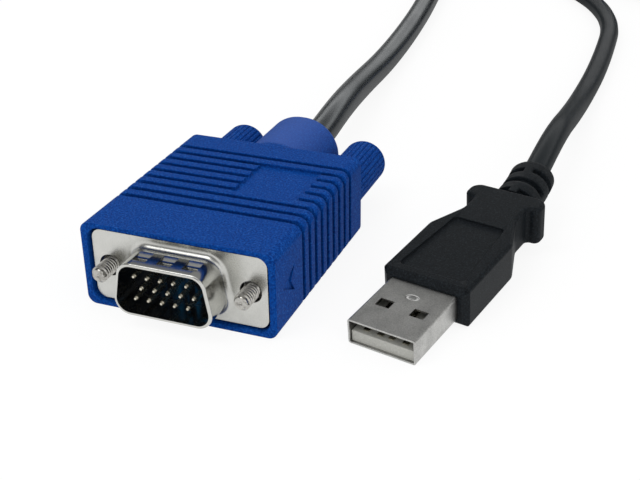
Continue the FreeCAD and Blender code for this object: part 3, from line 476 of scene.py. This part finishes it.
def turned(form, outline, steps):
    """Turns an outline of (radius, along) points about the Y axis."""
    spots = [form.verts.new((radius * MM, along * MM, 0)) for radius, along in outline]
    edges = [form.edges.new(pair) for pair in zip(spots, spots[1:])]
    bmesh.ops.spin(
        form,
        geom=spots + edges,
        cent=(0, 0, 0),
        axis=(0, 1, 0),
        angle=math.tau,
        steps=steps,
        use_merge=True,
    )
    bmesh.ops.remove_doubles(form, verts=form.verts, dist=1e-7)


def moved(form, across, along, up):
    bmesh.ops.translate(
        form, verts=form.verts, vec=(across * MM, along * MM, up * MM)
    )


def softened(name, width, body):
    """A copy of a CAD node with its sharp edges rounded, in the node's place."""
    form = bmesh.new()
    form.from_mesh(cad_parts[name].data)
    bmesh.ops.remove_doubles(form, verts=form.verts, dist=1e-6)
    sharp = [
        edge
        for edge in form.edges
        if edge.is_manifold and edge.calc_face_angle() > ROUNDED_CORNER
    ]
    bmesh.ops.bevel(
        form,
        geom=sharp,
        offset=width * MM,
        offset_type="OFFSET",
        segments=2,
        profile=0.5,
        affect="EDGES",
        material=-1,
        clamp_overlap=False,
    )
    bmesh.ops.triangulate(form, faces=form.faces)
    piece = finished(f"{name}_soft", form, body, finish_of(name), 50)
    even = piece.modifiers.new("Even flats", "WEIGHTED_NORMAL")
    even.keep_sharp = True
    even.weight = 80
    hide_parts(name)
    return piece


soft = {
    "usb_overmould": softened("usb_overmould", 0.12, "cable"),
    "junction_block": softened("junction_block", 0.2, "cable"),
}
for plug in PLUGS:
    soft[plug] = softened(f"{plug}_hood", 0.13, "cable")
    for word in ("left", "right"):
        knob = f"{plug}_knob_{word}"
        soft[knob] = softened(knob, 0.08, f"{plug}_thumbscrew_{word}")


# The screws: each stands for its plain CAD screw and shows the real thread.
# The outline is (radius, along): tip, core, collar, the washer's neck, and the shank.
SCREW_SPACING = 24.99
SCREW_OUTLINE = [
    (0, -3.5),
    (0.3, -3.8),
    (1.04, -3.8),
    (1.14, -3.66),
    (1.14, 0.3),
    (1.4, 0.5),
    (1.4, 1.74),
    (1.0, 1.74),
    (1.0, 2.86),
    (1.59, 2.86),
    (1.59, 45.8),
    (0, 45.8),
]
THREAD_START = -3.5
THREAD_PITCH = 0.56
THREAD_TURNS = 6.2
THREAD_TOOTH = [(1.0, -0.27), (1.4, -0.05), (1.4, 0.05), (1.0, 0.27)]
STEPS_PER_TURN = 32


def lock_screw(plug, side, word):
    across, along = PLUGS[plug]
    form = bmesh.new()
    turned(form, SCREW_OUTLINE, STEPS_PER_TURN)
    spots = [
        form.verts.new((radius * MM, (THREAD_START + place) * MM, 0))
        for radius, place in THREAD_TOOTH
    ]
    edges = [form.edges.new(pair) for pair in zip(spots, spots[1:])]
    bmesh.ops.spin(
        form,
        geom=spots + edges,
        cent=(0, 0, 0),
        axis=(0, 1, 0),
        dvec=(0, THREAD_PITCH / STEPS_PER_TURN * MM, 0),
        angle=THREAD_TURNS * math.tau,
        steps=round(THREAD_TURNS * STEPS_PER_TURN),
    )
    bmesh.ops.holes_fill(form, edges=form.edges, sides=8)
    moved(form, across + SCREW_SPACING / 2 * side, along, 0)
    body = f"{plug}_thumbscrew_{word}"
    piece = finished(f"{plug}_threaded_{word}", form, body, bright)
    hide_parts(f"{plug}_screw_{word}")
    return piece


screws = {}
for plug in PLUGS:
    for side, word in ((-1, "left"), (1, "right")):
        screws[plug, word] = lock_screw(plug, side, word)


# The cables. Their points are those of the source's routes, and the small plug's lead
# starts inside its slotted sleeve, which bends behind the guard.
GUARD_BACK = 44.6
SLEEVE_LENGTH = 11.6
SLEEVE_BEND = SLEEVE_LENGTH / PLUG_YAW


def cable(name, points, diameter, finish=jacket):
    """A cable along a smooth line that these points steer."""
    curve = bpy.data.curves.new(name, "CURVE")
    curve.dimensions = "3D"
    line = curve.splines.new("NURBS")
    line.points.add(len(points) - 1)
    for spot, point in zip(line.points, points):
        spot.co = (*(Vector(point) * MM), 1)
    line.order_u = 3
    line.use_endpoint_u = True
    line.resolution_u = 10
    curve.bevel_depth = diameter / 2 * MM
    curve.bevel_resolution = 7
    curve.use_fill_caps = True
    curve.materials.append(finish)
    piece = placed(name, curve)
    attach(piece, "cable")
    return piece


video_points = [
    (0, 30, 0),
    (0, 58.3, 0),
    (-2.4, 79, GROUND + 7.2),
    (-4.8, 99, GROUND + 5.2),
    (-6.2, 119, GROUND + 3.5),
    (-7.7, 139, GROUND + 3.0),
    (-9.8, 161, GROUND + 3.0),
    (-12.8, 183, GROUND + 3.0),
    (-16.2, 205, GROUND + 3.0),
    (-18.5, 227, GROUND + 3.1),
    (-18.9, 246, GROUND + 4.2),
    (-18.9, 264, GROUND + 4.7),
]
small_points = [
    SMALL @ Vector((0, 36, 0)),
    SMALL @ Vector((0, GUARD_BACK + SLEEVE_BEND * math.tan(PLUG_YAW / 2), 0)),
    (44.7, 77, GROUND + 8.3),
    (44.5, 95, GROUND + 5.2),
    (44.2, 113, GROUND + 2.8),
    (44.3, 132, GROUND + 2.4),
    (43.6, 152, GROUND + 2.4),
    (42.2, 172, GROUND + 2.4),
    (36.0, 191, GROUND + 2.4),
    (25.0, 208, GROUND + 2.4),
    (11.0, 222, GROUND + 2.6),
    (-2.0, 235, GROUND + 3.4),
    (-8.9, 250, GROUND + 4.4),
    (-9.5, 264, GROUND + 4.7),
]

# The trunk: an outer turn, an inner turn, then half a turn on top of both. Its angles
# are in degrees from the coil's start: where it moves inwards, climbs, and settles on top.
TRUNK = 6.8
TRUNK_ACROSS = -14.2
COIL_RADIUS = 34.0
COIL_CENTRE = Vector((TRUNK_ACROSS + COIL_RADIUS + TRUNK / 2, 312.0, GROUND))
COIL_STEP = 22.5
COIL_POINTS = 40
INWARDS = (300, 360)
CLIMB = (600, 660)
SETTLE = (660, 720)
CLIMB_LIFT = math.radians(60)


def share_of(value, low, high):
    """How far the value has come from low to high, from 0 to 1."""
    return min(1.0, max(0.0, (value - low) / (high - low)))


def coil_spot(angle):
    """The radius and height of the trunk's middle at this angle."""
    outer = COIL_RADIUS + TRUNK / 2
    if angle <= CLIMB[0]:
        return outer - TRUNK * share_of(angle, *INWARDS), TRUNK / 2
    if angle <= CLIMB[1]:
        lift = CLIMB_LIFT * share_of(angle, *CLIMB)
        return outer - TRUNK * math.cos(lift), TRUNK / 2 + TRUNK * math.sin(lift)
    below = outer - TRUNK * share_of(angle, *SETTLE)
    apart = abs(COIL_RADIUS - below)
    return COIL_RADIUS, TRUNK / 2 + math.sqrt(TRUNK ** 2 - apart ** 2)


def coil_point(angle):
    """A steering point: outside its turn, so that the smooth line between lies on it."""
    radius, height = coil_spot(angle)
    radius /= math.cos(math.radians(COIL_STEP / 2))
    turn = math.radians(angle)
    away = Vector((-math.cos(turn), math.sin(turn), 0)) * radius
    return COIL_CENTRE + away + Vector((0, 0, height))


trunk_points = [
    (TRUNK_ACROSS, 276, GROUND + 4.7),
    (TRUNK_ACROSS, 286, GROUND + 4.7),
    (TRUNK_ACROSS, 298, GROUND + 3.6),
]
trunk_points += [coil_point(COIL_STEP * (step + 0.5)) for step in range(COIL_POINTS)]
trunk_points += [
    (55.8, 297, GROUND + 8.9),
    (52.2, 281, 0.4),
    (52.0, 266, 0),
    (52.0, 244, 0),
]

video_cable = cable("video_cable", video_points, 6.0)
small_cable = cable("small_plug_cable", small_points, 4.8, thin_jacket)
trunk = cable("trunk_cable", trunk_points, TRUNK)
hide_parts("video_lead")
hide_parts("usb_lead")
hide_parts("trunk_in", "trunk_coil", "trunk_out")


# The tie, and the strands that it holds: out from the coil's middle line, and up.
TIE_ANGLE = math.radians(135)
TIE_WIDTH = 7.0
TIE_THICKNESS = 0.7
STRAND_RADIUS = 3.5
STRANDS = ((-3.4, 3.9), (3.4, 3.9), (0, 9.29))


def coil_tie():
    """A soft tie closed round the three strands at the coil's far right."""
    away = Vector((-math.cos(TIE_ANGLE), math.sin(TIE_ANGLE), 0))
    along = Vector((math.sin(TIE_ANGLE), math.cos(TIE_ANGLE), 0))
    facing = Matrix((away, Vector((0, 0, 1)), along)).transposed().to_4x4()
    form = bmesh.new()
    for across, up in STRANDS:
        middle = COIL_CENTRE + away * (COIL_RADIUS + across) + Vector((0, 0, up))
        bmesh.ops.create_cone(
            form,
            cap_ends=True,
            segments=40,
            radius1=STRAND_RADIUS * MM,
            radius2=STRAND_RADIUS * MM,
            depth=TIE_WIDTH * MM,
            matrix=Matrix.Translation(middle * MM) @ facing,
        )
    hull = bmesh.ops.convex_hull(form, input=form.verts)
    spare = {*hull["geom_interior"], *hull["geom_unused"]}
    bmesh.ops.delete(
        form,
        geom=[item for item in spare if isinstance(item, bmesh.types.BMVert)],
        context="VERTS",
    )
    kept = {item for item in hull["geom"] if isinstance(item, bmesh.types.BMFace)}
    loose = [face for face in form.faces if face not in kept]
    caps = [face for face in form.faces if abs(face.normal.dot(along)) > 0.7]
    bmesh.ops.delete(form, geom=list({*loose, *caps}), context="FACES")
    mix = Finish("tie_fabric")
    weave = mix.grain(0.25, 2.0)
    cloth = mix.surface(
        Base_Color=mix.blend(weave, (0.01, 0.01, 0.011, 1), (0.035, 0.035, 0.037, 1)),
        Roughness=0.8,
        Normal=mix.bump(weave, 0.08),
    )
    piece = finished("coil_tie", form, "cable", cloth)
    skin = piece.modifiers.new("Thickness", "SOLIDIFY")
    skin.thickness = TIE_THICKNESS * MM
    skin.offset = 1
    return piece


tie = coil_tie()

# What hangs on the trunk: the far plug, its replaced pieces by what stands for them.
replaced = ("_screw", "hood", "knob")
far_pieces = [
    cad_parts[name]
    for name in sorted(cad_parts)
    if name.startswith("console_") and not any(part in name for part in replaced)
]
far_pieces += [piece for name, piece in soft.items() if name.startswith("console")]
far_pieces += [screws["console", "left"], screws["console", "right"], tie]


WHITE = (1, 1, 1, 1)
FLOOR_HALF_SIZE = 6000
FLOOR_MIDDLE = (20, 100)


def floor_finish():
    """White to the camera, with the cable's soft shadow, and darker far back in gloss."""
    mix = Finish("pale_floor")
    seen = mix.ray("Camera").larger(mix.ray("Transmission"))
    gloss = mix.ray("Glossy")
    share = (seen * 0.84).larger(gloss * 0.6)
    dull = mix.node("ShaderNodeBsdfDiffuse", {}, {"Color": (0.88, 0.88, 0.88, 1)})
    far = mix.ramp(mix.along(1), 30 * MM, 70 * MM) * gloss
    shade = mix.blend(far, WHITE, (0.2, 0.2, 0.2, 1))
    glow = mix.node("ShaderNodeEmission", {}, {"Color": shade, "Strength": 1.05})
    both = mix.node("ShaderNodeMixShader", {}, {0: share, 1: dull, 2: glow})
    mix.node("ShaderNodeOutputMaterial", {}, {"Surface": both})
    return mix.material


def floor():
    """A flat floor just under the cable."""
    form = bmesh.new()
    bmesh.ops.create_grid(form, x_segments=1, y_segments=1, size=FLOOR_HALF_SIZE * MM)
    moved(form, *FLOOR_MIDDLE, GROUND - 0.01)
    mesh = bpy.data.meshes.new("floor")
    form.to_mesh(mesh)
    form.free()
    mesh.materials.append(floor_finish())
    piece = placed("floor", mesh)


def surroundings():
    """White to the camera; in gloss a dim room with a pale band low down at its back."""
    world = bpy.data.worlds.new("room")
    bpy.context.scene.world = world
    mix = Finish("room", world)
    seen = mix.ray("Camera").larger(mix.ray("Transmission"))
    gloss = mix.ray("Glossy")
    heading = mix.node("ShaderNodeTexCoord", output="Generated")
    height = mix.along(2, heading)
    back = mix.ramp(mix.along(1, heading), 0.1, 0.4)
    band = mix.ramp(height, 0.2, 0.26) * (1 - mix.ramp(height, 0.33, 0.41)) * back
    low = (1 - mix.ramp(height, 0.2, 0.42)) * (1 - back)
    high = mix.ramp(height, 0.8, 0.95)
    seen = seen.larger(gloss * low.larger(high))
    dim = 0.2 * (1 - back) + (0.05 + 0.25 * mix.ramp(height, 0.2, 0.6)) * back
    level = (dim + 1.8 * band) * gloss + 0.72 * (1 - gloss)
    white = mix.node("ShaderNodeBackground", {}, {"Color": WHITE, "Strength": 1.0})
    plain = mix.node("ShaderNodeBackground", {}, {"Color": WHITE, "Strength": level})
    both = mix.node("ShaderNodeMixShader", {}, {0: seen, 1: plain, 2: white})
    mix.node("ShaderNodeOutputWorld", {}, {"Surface": both})


def lamp(name, place, aim, width, power):
    """A square lamp of this width in metres, aimed at a point."""
    data = bpy.data.lights.new(name, "AREA")
    data.size = width
    data.energy = power
    item = placed(name, data)
    item.location = place
    away = Vector(place) - Vector(aim)
    item.rotation_euler = away.to_track_quat("Z", "Y").to_euler()


floor()
surroundings()
lamp("key", (-0.25, -0.35, 0.7), aim=(0.0, 0.03, 0), width=0.4, power=1.3)
lamp("fill", (0.55, -0.3, 0.45), aim=(0.02, 0.03, 0), width=0.5, power=0.7)

# The camera: its angles in degrees, its film's width in millimetres, and its picture's
# width and focal length in pixels.
CAMERA_PLACE = Vector((78.4, -136.0, 88.6))
CAMERA_YAW = -21.75
CAMERA_PITCH = 27.86
CAMERA_ROLL = -0.82
FILM_WIDTH = 36.0
VIEW_WIDTH = 640.0
FOCAL_LENGTH = 1128.0


def camera():
    """A view from over the front right of the video plug."""
    yaw = math.radians(CAMERA_YAW)
    pitch = math.radians(CAMERA_PITCH)
    roll = math.radians(CAMERA_ROLL)
    ahead = Vector(
        (math.sin(yaw) * math.cos(pitch), math.cos(yaw) * math.cos(pitch), -math.sin(pitch))
    )
    level = Vector((math.cos(yaw), -math.sin(yaw), 0))
    over = level.cross(ahead)
    right = level * math.cos(roll) + over * math.sin(roll)
    up = over * math.cos(roll) - level * math.sin(roll)
    data = bpy.data.cameras.new("camera")
    data.sensor_fit = "HORIZONTAL"
    data.sensor_width = FILM_WIDTH
    data.lens = FILM_WIDTH * FOCAL_LENGTH / VIEW_WIDTH
    data.clip_start = 0.01
    data.clip_end = 20.0
    item = placed("camera", data)
    stand = Matrix((right, up, -ahead)).transposed().to_4x4()
    item.matrix_world = Matrix.Translation(CAMERA_PLACE * MM) @ stand
    bpy.context.scene.camera = item


camera()
bpy.context.scene.view_settings.view_transform = "Standard"
